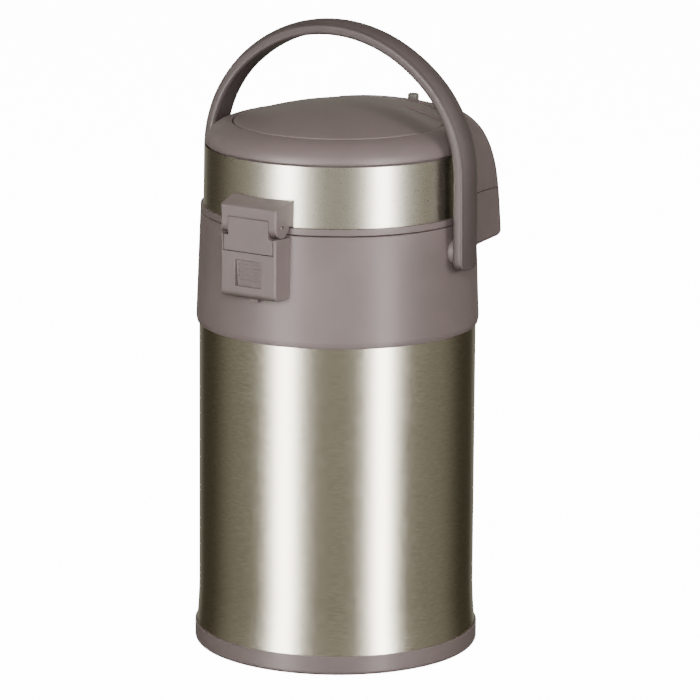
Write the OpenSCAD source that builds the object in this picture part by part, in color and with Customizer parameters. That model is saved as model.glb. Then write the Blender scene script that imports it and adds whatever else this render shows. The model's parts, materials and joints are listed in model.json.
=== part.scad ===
// Thermal coffee airpot: a double-wall steel vessel with a hinged pump lid, a spout and a carrying handle.
// Millimetres, +Z up. The origin is the centre of the face it stands on. The spout points along -Y,
// the lid hinge is at the back along +Y, and the handle turns on the X axis.

/* [Vessel] */
// Outer radius of the steel body
body_r = 82; // [80:0.5:83]
// Wall thickness of each steel shell
steel_t = 0.8; // [0.6:0.1:1.0]
// Gap between the two steel walls
vacuum_gap = 4.2; // [3:0.1:6]
// Inner radius of the vessel's mouth
mouth_r = 38; // [34:0.5:38]
// Radius that the steel body flares to at its foot
foot_r = 83.4; // [83:0.1:83.4]
// Height where the flare starts
flare_z = 36; // [25:1:60]

/* [Base] */
// Outer radius of the plastic base ring
base_r = 84.5; // [84.5:0.5:86]
// Height of the base ring
base_h = 12.5; // [10:0.5:14]

/* [Shoulder] */
// Height of the lower edge of the plastic shoulder
shoulder_z = 196.4; // [190:0.1:200]
// Height of the seam between shoulder and lid
seam_z = 262.1; // [262.1:0.1:262.3]
// Widest radius of the shoulder
shoulder_r = 83.8; // [83.4:0.1:84.5]

/* [Lid] */
// Outer radius of the lid's lower rim
rim_r = 81.2; // [81:0.1:81.3]
// Outer radius of the steel band at its foot
band_r = 79.6; // [79.5:0.1:79.6]
// Height of the top edge of the steel band
band_top = 302.3; // [301:0.1:302.5]
// Radius of the push plate
plate_r = 61.9; // [58:0.1:62]
// Height of the push plate's rim
plate_rim_z = 316; // [315:0.5:317]
// Rise of the push plate's dome above its rim
plate_rise = 11; // [8:0.5:12]

/* [Spout] */
// Half width of the spout hood
hood_w = 23; // [21:0.5:25]
// How far the spout reaches in front of the axis
hood_reach = 151.8; // [145:0.1:155]
// Height of the seam between the hood and the lower spout shell
hood_seam = 256.4; // [255:0.1:257]
// Outer radius of the dip tube and discharge pipe
pipe_r = 4; // [3.5:0.1:4]

/* [Handle] */
// Half width of the handle over its legs
handle_w = 93; // [93:0.5:95]
// Thickness of the handle strap
strap_t = 7.5; // [6:0.5:7.5]
// Width of the handle strap
strap_w = 18; // [14:1:19]
// Height of the handle's top
handle_top = 376; // [374:1:385]
// Height of the handle's pivots
pivot_z = 247; // [244:0.5:248]

/* [Hinge] */
// Distance of the hinge pin behind the axis
hinge_y = 86.7; // [86.7:0.1:87]
// Height of the hinge pin
hinge_z = 267.5; // [267.5:0.1:268]
// Distance of the hinge group's front face behind the axis
hinge_face = 92.5; // [92.5:0.1:93]
// Radius of the hinge pin
pin_r = 1.5; // [1.2:0.1:1.6]

/* [Fits] */
// Gap at visible seams
seam = 0.5; // [0.4:0.1:0.5]
// Radial clearance of turning and sliding shafts
running = 0.05; // [0.02:0.01:0.08]

/* [Hidden] */

PLASTIC = [0.50, 0.45, 0.44];
PLASTIC_DARK = [0.36, 0.33, 0.32];
STEEL = [0.76, 0.73, 0.66];
RUBBER = [0.16, 0.16, 0.17];
SILICONE = [0.86, 0.84, 0.78];

fine = 128;           // facets that OpenSCAD itself draws on a large round
coarse = 48;          // facets on a small round
eps = 0.01;           // overlap that keeps a cut clean
far = 400;            // longer than the object

contact = 0.05;       // gap where one piece sits against another
taper_z = 200;        // where the shoulder starts to narrow
shell_top = 243.2;    // top edge of the outer shell's neck
lip_z = shell_top + steel_t;
liner_r = body_r - steel_t - vacuum_gap;
neck_r = mouth_r + steel_t;
shell_neck_r = mouth_r + 4;
collar_top = 258.2;
collar_r = 47;
collar_z = 246;
deck_z = 255;         // underside of the shoulder's deck
deck_t = 2.2;
pipe_z = collar_z + pipe_r + 0.6;
tube_y = -25;         // dip tube, off centre so that the mouth stays open for filling
bend = 12;            // bend radius of the discharge pipe
nozzle_y = -138;
nozzle_bend = 10;
pipe_low = 236;       // where the pipe meets the dip tube
pipe_end = 222;       // its outlet inside the nozzle
pipe_bore = pipe_r - 0.8;
lid_z = seam_z + seam;
slide_y = 84.4;       // back of the release's sliding plate
slide_t = 2.2;        // and its thickness
wing_z = 237;         // underside of its wings
sill_z = 231.6;       // lower edge of the window in front of it
pad_back = 90.2;      // front of the pad at the sill
pad_front = 91.9;     // and at its top
rim_top = lid_z + 3.9;
band_z = rim_top + 0.2;
floor_z = lid_z + 1.4;
cover_z = band_top + seam;
well_r = plate_r + 0.6;
well_wall = 2.2;
bellows_z = rim_top;
bellows_h = 36;
cap_z = bellows_z + 3.5 + bellows_h;
axle = [0, hinge_y, hinge_z];
face_t = 5.8;         // pin axis to the hinge group's front face
knuckle_gap = 0.3;
knuckle_r = 6.9;
plate_half = 14;      // half width of the hinge plate between the bracket's ears
housing_screw_x = 15.5;
bracket_screw_x = 10;
lid_screw_r = 50;
lid_screw_angles = [45 : 90 : 315];
base_screw_r = 60;
base_screw_angles = [90, 210, 330];
pivot_r = 4;
lock_y = -80;
lock_z = 307;
lock_t = 1.8;
dome_r = (plate_r * plate_r + plate_rise * plate_rise) / (2 * plate_rise);
strap_c = handle_w - strap_t / 2;

// Points on an arc about [x, y], from angle a to angle b.
function arc(x, y, r, a, b, n = 10) =
    [for (i = [0 : n]) [x + r * cos(a + (b - a) * i / n), y + r * sin(a + (b - a) * i / n)]];

// Points on a quarter of an ellipse about [x, y], from angle a to angle b.
function oval(x, y, rx, ry, a, b, n = 16) =
    [for (i = [0 : n]) [x + rx * cos(a + (b - a) * i / n), y + ry * sin(a + (b - a) * i / n)]];

// Outer radius of the shoulder at a height.
function shoulder_at(z) = shoulder_r - (z - taper_z) / (seam_z - taper_z) * (shoulder_r - rim_r - 0.2);

module turned(points) {
    rotate_extrude($fn = fine) polygon(points);
}

// The solid that the shoulder fills, grown by a gap, so that what sits against it can be cut to its shape.
module shoulder_form(gap) {
    wide = shoulder_r + gap;
    turned([[0, 150], [wide, 150], [wide, taper_z], [shoulder_at(seam_z) + gap, seam_z], [0, seam_z]]);
}

module tube(r_out, r_in, z0, z1) {
    difference() {
        translate([0, 0, z0]) cylinder(h = z1 - z0, r = r_out, $fn = fine);
        translate([0, 0, z0 - 1]) cylinder(h = z1 - z0 + 2, r = r_in, $fn = fine);
    }
}

// A bar of round section along X, centred on x = 0.
module x_bar(r, length) {
    rotate([0, 90, 0]) cylinder(h = length, r = r, center = true, $fn = coarse);
}

// A bar of round section along Y, centred on y = 0.
module y_bar(r, length) {
    rotate([90, 0, 0]) cylinder(h = length, r = r, center = true, $fn = coarse);
}

// A side outline given as [y, z], drawn out along X to a half width.
module side_profile(half) {
    rotate([90, 0, 90]) linear_extrude(height = 2 * half, center = true) children();
}

// A slotted pan-head screw standing on z = 0, with its shaft pointing down.
module screw(head_r, head_h, shaft_r, length) {
    difference() {
        union() {
            cylinder(h = head_h, r = head_r, $fn = coarse);
            translate([0, 0, -length]) cylinder(h = length + eps, r = shaft_r, $fn = coarse);
        }
        translate([0, 0, head_h]) cube([2 * head_r + 1, head_r / 3.5, head_h], center = true);
    }
}

// A round-wire coil about Z, drawn as one closed surface with this many steps in each turn.
module coil(coil_r, wire_r, turns, height, per_turn = 20) {
    sides = 8;
    steps = turns * per_turn;
    points = [
        for (i = [0 : steps], k = [0 : sides - 1])
            let (a = 360 * i / per_turn, b = 360 * k / sides, out = coil_r + wire_r * cos(b))
                [out * cos(a), out * sin(a), wire_r * (1 + sin(b)) + (height - 2 * wire_r) * i / steps]
    ];
    skin = [
        for (i = [0 : sides : (steps - 1) * sides], k = [0 : sides - 1])
            let (n = (k + 1) % sides) [i + k, i + k + sides, i + n + sides, i + n]
    ];
    ends = [[for (k = [0 : sides - 1]) k], [for (k = [sides - 1 : -1 : 0]) steps * sides + k]];
    polyhedron(points = points, faces = concat(skin, ends), convexity = 4);
}

// ---- Base ----

module non_slip_ring() {
    color(RUBBER) tube(79, 72, 0, 0.8);
}

module base_ring() {
    inner = foot_r + 0.1;
    color(PLASTIC) turned(concat(
        [[70, 0.8], [base_r - 3, 0.8]],
        arc(base_r - 2.8, 3.6, 2.8, -90, 0),
        [[base_r, base_h], [inner, base_h], [inner, 3], [70, 3]]
    ));
}

module base_cover() {
    color(PLASTIC_DARK) difference() {
        turned([[0, 3.6], [66, 3.6], [66, 3.1], [76, 3.1], [76, 4.8], [0, 4.8]]);
        for (a = base_screw_angles) {
            rotate([0, 0, a]) translate([base_screw_r, 0, 0]) cylinder(h = 10, r = 1.8, $fn = coarse);
        }
    }
}

module base_screws() {
    color(STEEL) for (a = base_screw_angles) {
        rotate([0, 0, a]) translate([base_screw_r, 0, 3.6]) mirror([0, 0, 1]) screw(3.4, 1.8, 1.6, 1.3);
    }
}

// ---- Vessel ----

module vacuum_plate() {
    rim = foot_r - steel_t - 0.15;
    color(STEEL) turned([
        [0, 6.4], [20, 6.4], [24, 5], [rim, 5], [rim, 9], [rim - steel_t, 9], [rim - steel_t, 5.8],
        [24.5, 5.8], [20.4, 7.2], [0, 7.2]
    ]);
}

// Flared foot, straight wall, rounded shoulder and narrow neck, inset by d.
function shell_line(d) = concat(
    [[foot_r - d, 3.2], [foot_r - d, base_h]],
    [[body_r + (foot_r - body_r) * 0.35 - d, (base_h + flare_z) / 2], [body_r - d, flare_z]],
    arc(body_r - 22, 206, 22 - d, 0, 90),
    [[shell_neck_r + steel_t - d + 4, 228 - d]],
    [[shell_neck_r + steel_t - d, 232 - d], [shell_neck_r + steel_t - d, shell_top]]
);

function reversed(list) = [for (i = [len(list) - 1 : -1 : 0]) list[i]];

module outer_shell() {
    color(STEEL) turned(concat(shell_line(0), reversed(shell_line(steel_t))));
}

// Floor, rounded corner, wall, shoulder and neck of the inner vessel, inset by d.
function liner_line(d) = concat(
    [[0, 14 + d], [liner_r - 17, 14 + d]],
    arc(liner_r - 17, 31, 17 - d, -90, 0),
    arc(liner_r - 20, 200, 20 - d, 0, 90),
    [[neck_r - d + 4, 220 - d], [neck_r - d, 224 - d]]
);

module inner_liner() {
    lip_r = shell_neck_r + steel_t;
    color(STEEL) turned(concat(
        liner_line(0),
        [[neck_r, shell_top], [lip_r, shell_top], [lip_r, lip_z], [mouth_r, lip_z]],
        reversed(liner_line(steel_t))
    ));
}

module neck_gasket() {
    color(SILICONE) tube(46, mouth_r + 0.2, lip_z, collar_z);
}

module mouth_collar() {
    color(PLASTIC_DARK) difference() {
        tube(collar_r, mouth_r - 1, collar_z, collar_top);
        translate([0, -collar_r, pipe_z]) y_bar(pipe_r + 0.9, 24);
    }
}

module pipe_seal() {
    color(RUBBER) intersection() {
        translate([0, -42, pipe_z]) difference() {
            y_bar(pipe_r + 0.85, 20);
            y_bar(pipe_r + 0.02, 22);
        }
        tube(collar_r, mouth_r + 1.4, collar_z + 0.1, collar_top);
    }
}

// ---- Shoulder and spout ----

module shoulder() {
    top_r = shoulder_at(seam_z);
    color(PLASTIC) difference() {
        turned([
            [body_r + 0.15, shoulder_z], [body_r + 1.2, shoulder_z + 0.3],
            [shoulder_r - 0.2, shoulder_z + 1.8], [shoulder_r, taper_z],
            [top_r, seam_z - 0.5], [top_r - 0.5, seam_z], [top_r - 2.6, seam_z],
            [top_r - 2.6, deck_z + deck_t], [collar_r + 0.2, deck_z + deck_t], [collar_r + 0.2, collar_z + 1],
            [collar_r + 2.6, collar_z + 1], [collar_r + 2.6, deck_z], [top_r - 2.6, deck_z],
            [body_r - 2.4, 218], [body_r + 0.15, 213]
        ]);
        translate([0, -65, pipe_z]) y_bar(pipe_r + 0.4, 60);
        translate([0, 0, pivot_z]) x_bar(pivot_r + running, far);
        housing_screw_holes(1.7);
    }
}

// The rounded outline that the hood, the lower spout shell and the ridge of the push plate are cut from,
// made smaller all round by d. Each station is [y, z, half width, edge radius].
module spout_body(d) {
    front = hood_reach - 10;
    stations = [
        [-14, 313.6, 14, 8], [-30, 315.4, 30, 8], [-60.4, 312.4, 31, 8], [-103, 299.2, hood_w + 1.5, 10],
        [20 - front, 289, hood_w, 10], [11 - front, 277.8, hood_w, 10],
        [5.4 - front, 264.5, hood_w, 10], [2.4 - front, 248, hood_w, 10]
    ];
    hull() {
        for (s = stations, side = [-1, 1]) {
            translate([side * (s[2] - s[3]), s[0], s[1]]) sphere(r = s[3] - d, $fn = 32);
        }
        for (y = [-front, -70], side = [-1, 1]) {
            translate([side * (hood_w - 10), y, 228 + (y + front) * -0.08 + d])
                rotate_extrude($fn = 32) translate([7 - d, 0]) circle(r = 3, $fn = 16);
        }
    }
}

module spout_shell() {
    color(PLASTIC) difference() {
        intersection() {
            spout_body(0);
            translate([-50, -200, 0]) cube([100, 140, hood_seam - 0.4]);
        }
        spout_body(2.2);
        shoulder_form(contact);
        translate([0, nozzle_y, 200]) cylinder(h = 40, r = 6.6, $fn = coarse);
    }
}

module spout_nozzle() {
    bore = pipe_r + 0.02;
    color(PLASTIC_DARK) translate([0, nozzle_y, 0]) rotate_extrude($fn = coarse) polygon([
        [bore, 236], [bore, 221], [4.4, 217], [6, 217], [6.4, 219], [6.4, 227.6], [8.4, 227.6],
        [8.4, 229.2], [6.4, 229.2], [6.4, 236]
    ]);
}

module dip_tube() {
    color(STEEL) translate([0, tube_y, 24]) difference() {
        cylinder(h = 212, r = pipe_r, $fn = coarse);
        translate([0, 0, -1]) cylinder(h = 214, r = pipe_bore, $fn = coarse);
        translate([0, 0, -1]) rotate([90, 0, 0]) cylinder(h = 20, r = 3, center = true, $fn = coarse);
    }
}

module tube_joint() {
    color(SILICONE) translate([0, tube_y, 226]) difference() {
        cylinder(h = 12, r = pipe_r + 1.6, $fn = coarse);
        translate([0, 0, -1]) cylinder(h = 14, r = pipe_r + 0.02, $fn = coarse);
    }
}

// A quarter bend of the pipe in the YZ plane about [y, z], from angle a to a + 90 above +Y.
module pipe_bend(y, z, bend_r, r, a) {
    translate([0, y, z]) rotate([90, 0, 90]) rotate([0, 0, a])
        rotate_extrude(angle = 90, $fn = fine) translate([bend_r, 0]) circle(r = r, $fn = coarse);
}

// The path of the discharge pipe filled to radius r: up, over the mouth, along and down into the nozzle.
module pipe_path(r) {
    run_y = tube_y - bend;
    end_y = nozzle_y + nozzle_bend;
    top = pipe_z - bend;
    end_top = pipe_z - nozzle_bend;
    translate([0, tube_y, pipe_low]) cylinder(h = top - pipe_low + eps, r = r, $fn = coarse);
    pipe_bend(run_y, top, bend, r, 0);
    translate([0, run_y + eps, pipe_z]) rotate([90, 0, 0])
        cylinder(h = run_y - end_y + 2 * eps, r = r, $fn = coarse);
    pipe_bend(end_y, end_top, nozzle_bend, r, 90);
    translate([0, nozzle_y, pipe_end]) cylinder(h = end_top - pipe_end + eps, r = r, $fn = coarse);
}

module discharge_pipe() {
    color(STEEL) difference() {
        pipe_path(pipe_r);
        pipe_path(pipe_bore);
    }
}

// ---- Hinge and release ----

// Plan outline of the hinge group: wider at the body than at its front face, with rounded front corners.
module hinge_plan() {
    linear_extrude(height = far) hull() {
        for (s = [-1, 1]) {
            translate([18.2 * s, hinge_face - 1.2]) circle(r = 1.2, $fn = 32);
            translate([(21.4 - 1) * s, 70]) square(2, center = true);
        }
    }
}

module housing_screw_holes(r) {
    for (s = [-1, 1]) {
        translate([housing_screw_x * s, 80, 238]) y_bar(r, 16);
    }
}

module bracket_screw_holes(r) {
    for (s = [-1, 1]) {
        translate([bracket_screw_x * s, 80, 278]) y_bar(r, 18);
    }
}

module hinge_housing() {
    low = 224.5;
    high = hinge_z - face_t - 0.5;
    color(PLASTIC) difference() {
        intersection() {
            side_profile(30) polygon(concat(
                [[70, low], [hinge_face - 4, low]],
                arc(hinge_face - 4, low + 4, 4, -90, 0),
                [[hinge_face, high], [70, high]]
            ));
            hinge_plan();
            rotate([90, 0, 180]) linear_extrude(height = far) polygon(concat(
                arc(17, low + 5, 5, -90, 0), [[22, high], [-22, high]], arc(-17, low + 5, 5, 180, 270)
            ));
        }
        shoulder_form(contact);
        translate([-17.5, 86.2, 251.6]) cube([35, 20, 20]);
        translate([-14.3, 80, 261]) cube([28.6, 20, 20]);
        translate([-9.1, 85, sill_z]) cube([18.2, 20, 15.6]);
        translate([-9.1, 85, 226.6]) cube([18.2, pad_back + 0.5 - 85, 10]);
        translate([-10.8, 84.2, 226.6]) cube([21.6, 2.6, 22.8]);
        translate([-2.9, 84.5, 200]) cube([5.8, 3.3, 40]);
        housing_screw_holes(1.35);
    }
}

module hinge_plate() {
    back_r = 5.2;
    color(PLASTIC) difference() {
        union() {
            side_profile(plate_half) union() {
                translate([hinge_y, hinge_z]) circle(r = back_r, $fn = coarse);
                intersection() {
                    translate([hinge_y, hinge_z]) circle(r = knuckle_r, $fn = coarse);
                    translate([hinge_y, hinge_z - 10]) square([face_t, 20]);
                }
                translate([86.5, 252.1]) square([hinge_face - 86.5, hinge_z - 252.1]);
            }
            translate([-17, 86.5, 252.1]) cube([34, hinge_face - 86.5, 9]);
        }
        translate(axle) x_bar(pin_r + running, 60);
    }
}

module hinge_pin() {
    color(STEEL) translate(axle) x_bar(pin_r, 38.6);
}

module housing_screws() {
    color(STEEL) for (s = [-1, 1]) {
        translate([housing_screw_x * s, 76.9, 238]) rotate([90, 0, 0]) screw(2.8, 1.6, 1.3, 10);
    }
}

// Ribbed pad that leans back towards its lower end and runs down behind the sill of the housing's window. The
// plate behind it slides in the housing, and the springs push up on that plate's wings.
module release_slider() {
    pad_low = 229.8;
    pad_top = 246.9;
    lean = (pad_front - pad_back) / (pad_top - sill_z);
    color(PLASTIC) {
        difference() {
            side_profile(8.8) polygon([
                [86.7, pad_low], [pad_back, pad_low], [pad_back, sill_z], [pad_front, pad_top],
                [86, pad_top], [86, wing_z], [86.7, wing_z]
            ]);
            for (i = [0 : 4]) {
                z = 235.3 + i * 2.3;
                translate([0, pad_back + lean * (z - sill_z), z]) rotate([-atan(lean), 0, 0])
                    cube([14.5, 1.2, 1.1], center = true);
            }
        }
        translate([-10.5, slide_y, wing_z]) cube([21, slide_t, 12]);
        translate([-4.6, slide_y, 230.2]) cube([9.2, slide_t + 0.2, 8]);
        translate([-2.6, slide_y + 0.4, 221.8]) cube([5.2, 1.8, 9]);
    }
}

module release_springs() {
    low = 226.65;
    color(STEEL) for (s = [-1, 1]) {
        translate([7.6 * s, slide_y + slide_t / 2, low]) coil(0.85, 0.25, 5, wing_z - contact - low, 12);
    }
}

// ---- Handle ----

// Rounded section of the strap, grown by a small amount: thickness along x, width along y.
module strap_section(grow = 0) {
    r = 2.8;
    thick = strap_t + 2 * grow;
    wide = strap_w + 2 * grow;
    square([thick - 2 * r, wide], center = true);
    square([thick, wide - 2 * r], center = true);
    for (x = [-1, 1], y = [-1, 1]) {
        translate([x * (thick / 2 - r), y * (wide / 2 - r)]) circle(r = r, $fn = 32);
    }
}

// Part of a ring of strap in the XZ plane, about [x, z], from angle a to angle b.
module strap_arc(x, z, r, a, b, grow = 0) {
    translate([x, 0, z]) rotate([90, 0, 0]) rotate([0, 0, a])
        rotate_extrude(angle = b - a, $fn = fine) translate([r, 0]) strap_section(grow);
}

module handle() {
    turn = 50;
    corner_r = 76;
    crown_r = corner_r + (strap_c - corner_r) / cos(turn);
    crown_z = handle_top - 0.05 - strap_t / 2 - crown_r;
    leg_top = crown_z + (crown_r - corner_r) * sin(turn);
    foot = pivot_z - 9.5;
    foot_round = 5;
    half = strap_w / 2;
    color(PLASTIC) difference() {
        union() {
            for (s = [0, 1]) mirror([s, 0, 0]) {
                intersection() {
                    translate([strap_c, 0, foot]) linear_extrude(height = leg_top - foot) strap_section();
                    side_profile(far) polygon(concat(
                        arc(half - foot_round, foot + foot_round, foot_round, -90, 0),
                        [[half + 1, leg_top + 1], [-half - 1, leg_top + 1]],
                        arc(foot_round - half, foot + foot_round, foot_round, 180, 270)
                    ));
                }
                strap_arc(strap_c - corner_r, leg_top, corner_r, 0, turn + 0.6);
                translate([76.4, 0, pivot_z]) rotate([0, 90, 0]) cylinder(h = 12, r = pivot_r, $fn = coarse);
            }
            strap_arc(0, crown_z, crown_r, turn, 180 - turn, 0.05);
        }
        for (s = [-1, 1]) translate([s * 77.2, 0, pivot_z]) difference() {
            x_bar(pivot_r + 1, 0.8);
            x_bar(pivot_r - 0.8, 2);
        }
    }
}

module pivot_washers() {
    color(PLASTIC) for (s = [0, 1]) mirror([s, 0, 0]) difference() {
        translate([70, 0, pivot_z]) rotate([0, 90, 0])
            cylinder(h = handle_w - strap_t - 0.2 - 70, r = 7.4, $fn = coarse);
        shoulder_form(contact);
        translate([0, 0, pivot_z]) x_bar(pivot_r + running, far);
    }
}

module pivot_clips() {
    color(STEEL) for (s = [-1, 1]) {
        translate([s * 77.2, 0, pivot_z]) difference() {
            x_bar(6.4, 0.7);
            x_bar(pivot_r - 0.7, 2);
            translate([0, 0, -6]) cube([2, 4, 12], center = true);
        }
    }
}

// ---- Lid ----

// Holes that hold the inner lid's screws, up to a height.
module lid_screw_holes(r, top) {
    for (a = lid_screw_angles) {
        rotate([0, 0, a]) translate([lid_screw_r, 0, 250]) cylinder(h = top - 250, r = r, $fn = coarse);
    }
}

module lid_base() {
    wall = band_r - steel_t - 0.8;
    color(PLASTIC) difference() {
        turned([
            [30, floor_z], [73, floor_z], [76, lid_z], [rim_r - 0.4, lid_z],
            [rim_r, lid_z + 0.4], [rim_r, rim_top], [wall, rim_top], [wall, 295.5],
            [wall - 2, 295.5], [wall - 2, rim_top], [30, rim_top]
        ]);
        bracket_screw_holes(1.4);
        lid_screw_holes(1.3, 264.6);
    }
}

module lid_band() {
    top = band_r - 0.6;
    color(STEEL) difference() {
        turned([[band_r, band_z], [top, band_top], [top - steel_t, band_top], [band_r - steel_t, band_z]]);
        bracket_screw_holes(1.4);
    }
}

// Section of the domed cover from its lower edge up to the well's rim, inset by d.
function cover_line(d) = oval(56, cover_z + 0.5, 22.8 - d, 13.4 - d, 0, 73.2);

module lid_cover() {
    lip = band_r - steel_t - 0.75;
    well_out = well_r + well_wall;
    color(PLASTIC) difference() {
        union() {
            turned(concat(
                [[lip, cover_z], [78.8, cover_z]], cover_line(0),
                [[well_r, plate_rim_z], [well_r, 271], [well_out, 271], [well_out, 311]],
                reversed(oval(56, cover_z + 0.5, 20.6, 11.2, 0, 60)),
                [[lip - 1.8, cover_z], [lip - 1.8, 296], [lip, 296]]
            ));
            intersection() {
                spout_body(0);
                translate([-60, -200, hood_seam]) cube([120, 200, 100]);
            }
        }
        intersection() {
            spout_body(2.2);
            difference() {
                translate([-60, -200, 200]) cube([120, 200, 140]);
                translate([0, 0, 190]) cylinder(h = 160, r = well_out, $fn = fine);
            }
        }
        difference() {
            translate([0, 0, 200]) cylinder(h = cover_z - 200, r = band_r + 0.25, $fn = fine);
            tube(lip, lip - 1.8, 296, cover_z + eps);
            tube(well_out, well_r, 271, cover_z + eps);
        }
        translate([0, 0, 200]) cylinder(h = band_z - 200, r = rim_r + 0.3, $fn = fine);
        shoulder_form(0.3);
        translate([0, 0, 250]) cylinder(h = 100, r = well_r, $fn = fine);
        translate([-3.6, lock_y - 4, 306]) cube([7.2, 14, 20]);
        lock_slot();
    }
}

module hinge_bracket() {
    top_back = 282.3;
    top_front = 278.5;
    opening = 2 * (plate_half + knuckle_gap);
    color(PLASTIC) difference() {
        intersection() {
            side_profile(30) union() {
                translate([hinge_y, hinge_z]) circle(r = face_t, $fn = coarse);
                polygon(concat(
                    [[70, hinge_z], [hinge_face, hinge_z]],
                    arc(hinge_face - 1.5, top_front - 1.2, 1.5, 0, 72, 6),
                    [[79, top_back], [70, top_back]]
                ));
            }
            hinge_plan();
        }
        translate(axle) x_bar(knuckle_r + 0.5, opening);
        translate([-opening / 2, 70, 200]) cube([opening, 30, hinge_z - 200]);
        translate(axle) x_bar(pin_r + running, 60);
        translate([0, 0, 200]) cylinder(h = 100, r = band_r + 0.1, $fn = fine);
        translate([0, 0, 200]) cylinder(h = band_z + 0.3 - 200, r = rim_r + 0.15, $fn = fine);
        bracket_screw_holes(1.25);
    }
}

module bracket_screws() {
    color(STEEL) for (s = [-1, 1]) {
        translate([bracket_screw_x * s, 74.8, 278]) rotate([90, 0, 0]) screw(2.8, 1.6, 1.2, 12.4);
    }
}

module inner_lid() {
    under = 261.2;
    color(PLASTIC_DARK) difference() {
        turned([
            [7.2, under], [36.4, under], [36.4, 259.4], [37, 259.4], [37, under], [46, under], [46, 259.4],
            [46.8, 259.4], [46.8, under], [52, under], [52, floor_z], [12, floor_z], [12, 263], [7.2, 263]
        ]);
        lid_screw_holes(1.5, 270);
    }
}

module lid_gasket() {
    color(SILICONE) turned([
        [37.2, collar_top], [45.8, collar_top], [45.8, 261.2], [37.2, 261.2]
    ]);
}

module lid_screws() {
    color(STEEL) for (a = lid_screw_angles) {
        rotate([0, 0, a]) translate([lid_screw_r, 0, 261.2]) mirror([0, 0, 1]) screw(2.9, 1.5, 1.2, 3);
    }
}

module tip_valve_cage() {
    color(PLASTIC_DARK) difference() {
        turned([
            [2.2, 248], [7.1, 248], [7.1, 263.1], [11.8, 263.1], [11.8, 263.9], [2.6, 263.9],
            [2.6, 261.4], [5.6, 259.6], [5.6, 249.4], [2.2, 249.4]
        ]);
        for (a = [0, 60, 120]) rotate([0, 0, a]) translate([0, 0, 254]) cube([30, 3, 6], center = true);
    }
}

module tip_valve_ball() {
    color(STEEL) translate([0, 0, 249.5 + 4.4]) sphere(r = 4.4, $fn = coarse);
}

module bellows_base() {
    color(PLASTIC_DARK) turned([
        [3, bellows_z], [3, bellows_z - 1.6], [29.5, bellows_z - 1.6], [29.5, bellows_z], [56, bellows_z],
        [56, bellows_z + 1.6], [50, bellows_z + 1.6], [50, bellows_z + 3.4], [3, bellows_z + 3.4]
    ]);
}

module bellows() {
    folds = 6;
    low = bellows_z + 3.5;
    pitch = bellows_h / folds;
    t = 1;
    zig = concat(
        [[32, low], [46, low]],
        [for (i = [0 : folds - 1], p = [[46, 0.3], [40, 0.5], [46, 0.7]]) [p[0], low + pitch * (i + p[1])]],
        [[46, low + bellows_h], [32, low + bellows_h]]
    );
    top = low + bellows_h;
    inner = [for (i = [len(zig) - 2 : -1 : 1]) [zig[i][0] - t, min(max(zig[i][1], low + t), top - t)]];
    color(RUBBER) turned(concat(zig, [[32, top - t]], inner, [[32, low + t]]));
}

module bellows_cap() {
    color(PLASTIC_DARK) turned([
        [3, cap_z], [47, cap_z], [47, cap_z + 1], [44, cap_z + 2.6], [3, cap_z + 2.6]
    ]);
}

module return_spring() {
    color(STEEL) translate([0, 0, bellows_z + 3.45]) coil(24, 0.9, 5, bellows_h);
}

module inlet_valve() {
    color(RUBBER) turned([
        [0, cap_z - 2.4], [7.5, cap_z - 1.6], [7.5, cap_z - 0.6], [2.2, cap_z - 0.9],
        [2.2, cap_z + 3.2], [3.6, cap_z + 3.2], [3.6, cap_z + 4.4], [0, cap_z + 4.4]
    ]);
}

module check_valve() {
    color(RUBBER) turned([
        [0, 264.05], [8, 264.05], [8, 264.7], [2.2, 264.85],
        [2.2, 269.95], [3.6, 269.95], [3.6, 271.2], [0, 272]
    ]);
}

// The slot that the lock's tongue slides through, in the wall of the well and in the push plate's skirt.
module lock_slot() {
    translate([-4.3, -68, lock_z - 0.4]) cube([8.6, 14, lock_t + 0.8]);
}

module push_plate() {
    wall = 2.6;
    skirt = 302;
    dome = [for (i = [0 : 16]) let (r = plate_r * i / 16)
        [r, plate_rim_z + plate_rise - dome_r + sqrt(dome_r * dome_r - r * r)]];
    under = [for (i = [0 : 12]) let (r = (plate_r - wall) * i / 12)
        [r, plate_rim_z + plate_rise - dome_r - wall + sqrt(dome_r * dome_r - r * r)]];
    color(PLASTIC) union() {
        difference() {
            union() {
                turned(concat([[0, skirt]], dome, [[plate_r, skirt]]));
                intersection() {
                    spout_body(0);
                    translate([0, 0, plate_rim_z - 4]) cylinder(h = 40, r = plate_r, $fn = fine);
                }
            }
            turned(concat(under, [[plate_r - wall, skirt - 1], [0, skirt - 1]]));
            lock_slot();
        }
        difference() {
            turned([[10, cap_z + 2.6], [12, cap_z + 2.6], [12, 325], [10, 325]]);
            for (a = [0, 90]) rotate([0, 0, a]) translate([0, 0, cap_z + 4]) cube([30, 3, 4], center = true);
        }
        turned([[38, cap_z + 2.6], [40, cap_z + 2.6], [40, 321], [38, 321]]);
    }
}

module lock_knob() {
    peg = 3.4;
    top = 319.6;
    color(PLASTIC_DARK) translate([0, lock_y, 0]) {
        translate([0, 0, lock_z + 1]) cylinder(h = top - lock_z - 1, r = peg, $fn = coarse);
        translate([0, 0, top - eps]) rotate_extrude($fn = coarse)
            polygon(concat([[0, 0]], arc(peg - 1, 0, 1, 0, 90)));
        translate([-6.5, -8, lock_z]) cube([13, 16, lock_t]);
        translate([-4, 0, lock_z]) cube([8, 14.8, lock_t]);
    }
}

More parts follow.
